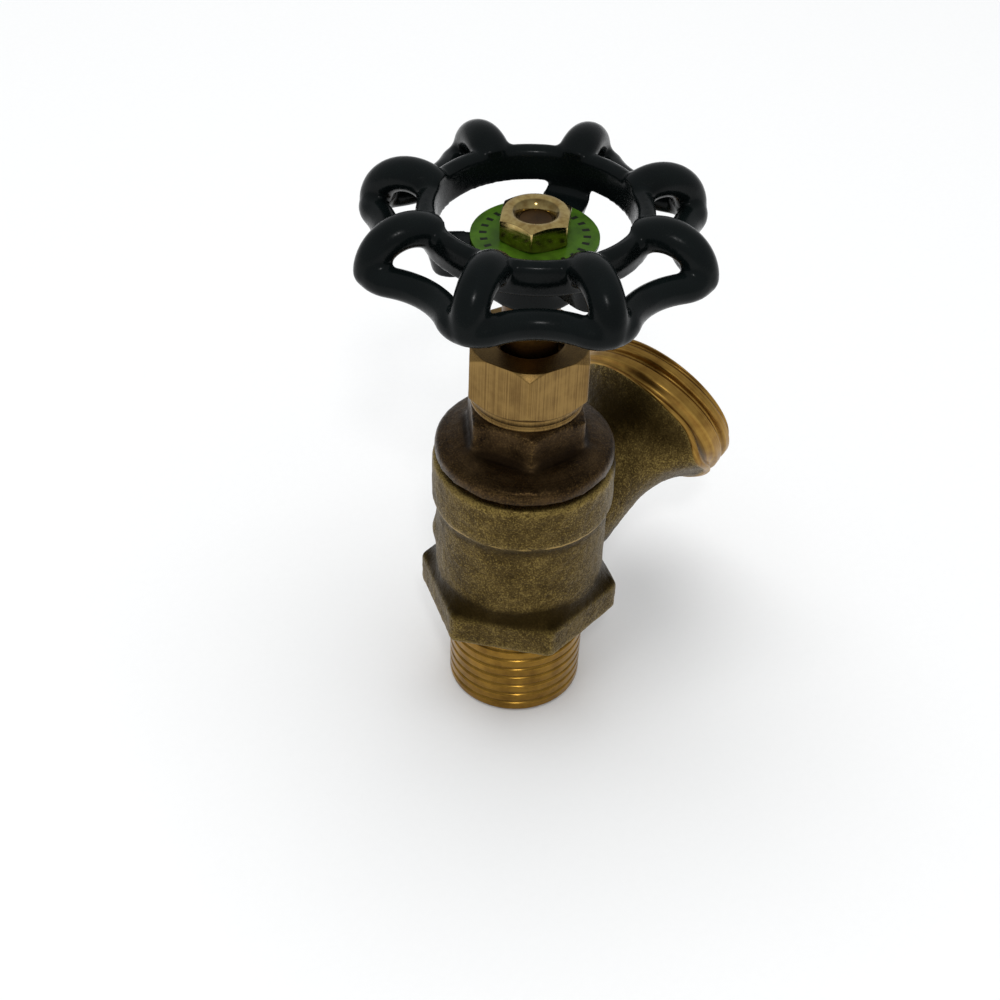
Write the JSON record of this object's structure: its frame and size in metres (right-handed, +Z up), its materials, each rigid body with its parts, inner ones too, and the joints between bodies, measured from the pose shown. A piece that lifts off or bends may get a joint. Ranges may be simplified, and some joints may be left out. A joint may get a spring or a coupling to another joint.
{
  "type": "boiler drain valve",
  "caption": "Brass drain valve with a pipe thread inlet below, a flared hose outlet rising to one side and a lobed handwheel on a rising stem.",
  "frame": {"origin": "centre of the inlet's end face, on the stem's axis", "axes": "+Z up along the stem, +X along the outlet as seen from above"},
  "size_m": [0.0637, 0.0482, 0.0863],
  "materials": {
    "cast_brass": "sand cast, tumbled, dull bronze brown",
    "dark_cast_brass": "sand cast, darker brown",
    "turned_brass": "turned, satin",
    "bright_brass": "polished",
    "black_enamel": "glossy black enamel on a casting",
    "green_label": "printed aluminium disc, green",
    "fibre_gasket": "pressed fibre",
    "packing": "graphite filled",
    "black_rubber": "matte"
  },
  "bodies": {
    "valve_body": {"body": "cast_brass", "bonnet_gasket": "fibre_gasket", "bonnet": "dark_cast_brass", "packing_washer": "turned_brass", "packing_ring_lower": "packing", "packing_ring_upper": "packing", "packing_gland": "turned_brass", "packing_nut": "turned_brass"},
    "disc_carrier": {"disc_holder": "turned_brass", "seat_washer": "black_rubber", "seat_screw": "bright_brass"},
    "wheel_and_stem": {"stem": "turned_brass", "handwheel": "black_enamel", "label_disc": "green_label", "wheel_nut": "bright_brass"}
  },
  "joints": [
    {"name": "stem_lift", "type": "slide", "parent": "valve_body", "child": "disc_carrier", "axis": [0, 0, 1], "range_m": [0, 0.00572]},
    {"name": "handwheel_turn", "type": "hinge", "parent": "disc_carrier", "child": "wheel_and_stem", "pos_m": [0, 0, 0.079], "axis": [0, 0, 1], "range_deg": [0, 810]}
  ],
  "couplings": [
    {"joint": "stem_lift", "follows": "handwheel_turn", "m_per_rad": 0.00040425}
  ]
}
